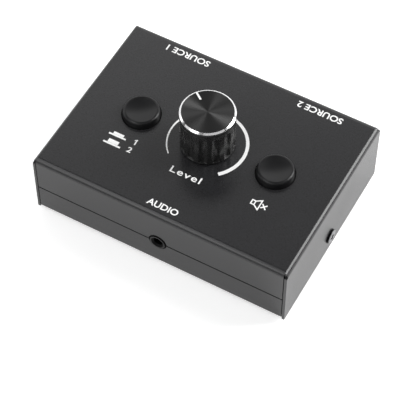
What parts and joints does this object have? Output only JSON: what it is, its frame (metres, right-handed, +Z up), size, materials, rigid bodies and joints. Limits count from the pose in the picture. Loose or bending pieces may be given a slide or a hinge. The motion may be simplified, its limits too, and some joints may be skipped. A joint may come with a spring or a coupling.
{
  "type": "audio source selector",
  "caption": "Low black desktop box of folded steel with a fluted level knob between round push buttons and round audio sockets in its front and back edges, for switching between audio sources.",
  "frame": {"origin": "on the surface that the feet stand on, under the middle of the case and the knob's axis", "axes": "+X to the right along the width, +Y from the front face to the back face, +Z up along the knob's axis"},
  "size_m": [0.1018, 0.0724, 0.0471],
  "materials": {
    "coated_steel": "fine textured black powder coat",
    "black_screw": "black zinc plate",
    "foot_rubber": "matte moulded rubber",
    "board_laminate": "green solder mask on glass laminate",
    "plated_steel": "bright zinc plate",
    "jack_plastic": "moulded black plastic",
    "terminal_brass": "tinned brass strip",
    "pot_plastic": "moulded phenolic",
    "wafer_laminate": "phenolic paper laminate",
    "knob_plastic": "glossy moulded ABS",
    "knob_aluminium": "black anodised, spun top face with a bright turned bevel",
    "button_plastic": "satin moulded ABS",
    "plunger_plastic": "natural acetal"
  },
  "bodies": {
    "chassis": {"top_cover": "coated_steel", "base_pan": "coated_steel", "side_screws": "black_screw", "rubber_feet": "foot_rubber", "circuit_board": "board_laminate", "board_standoffs": "plated_steel", "board_screws": "plated_steel", "front_jack": "jack_plastic", "rear_jack_1": "jack_plastic", "rear_jack_2": "jack_plastic", "front_jack_terminals": "terminal_brass", "rear_jack_1_terminals": "terminal_brass", "rear_jack_2_terminals": "terminal_brass", "pot_case": "pot_plastic", "pot_wafers": "wafer_laminate", "pot_bushing": "plated_steel", "pot_terminals": "terminal_brass", "select_switch": "jack_plastic", "mute_switch": "jack_plastic", "select_switch_terminals": "terminal_brass", "mute_switch_terminals": "terminal_brass", "select_spring": "plated_steel", "mute_spring": "plated_steel"},
    "level_knob": {"knob_body": "knob_plastic", "knob_cap": "knob_aluminium", "pot_shaft": "plated_steel", "pot_wipers": "terminal_brass"},
    "select_push": {"select_button": "button_plastic", "select_plunger": "plunger_plastic"},
    "mute_push": {"mute_button": "button_plastic", "mute_plunger": "plunger_plastic"}
  },
  "joints": [
    {"name": "level_turn", "type": "hinge", "parent": "chassis", "child": "level_knob", "pos_m": [0, 0, 0.0293], "axis": [0, 0, -1], "range_deg": [-96.5, 203.5]},
    {"name": "select_press", "type": "slide", "parent": "chassis", "child": "select_push", "axis": [0, 0, -1], "range_m": [0, 0.0022], "stiffness_N_per_m": 400, "springref_m": -0.0025, "deforming": ["select_spring"]},
    {"name": "mute_press", "type": "slide", "parent": "chassis", "child": "mute_push", "axis": [0, 0, -1], "range_m": [0, 0.0022], "stiffness_N_per_m": 400, "springref_m": -0.0025, "deforming": ["mute_spring"]}
  ]
}
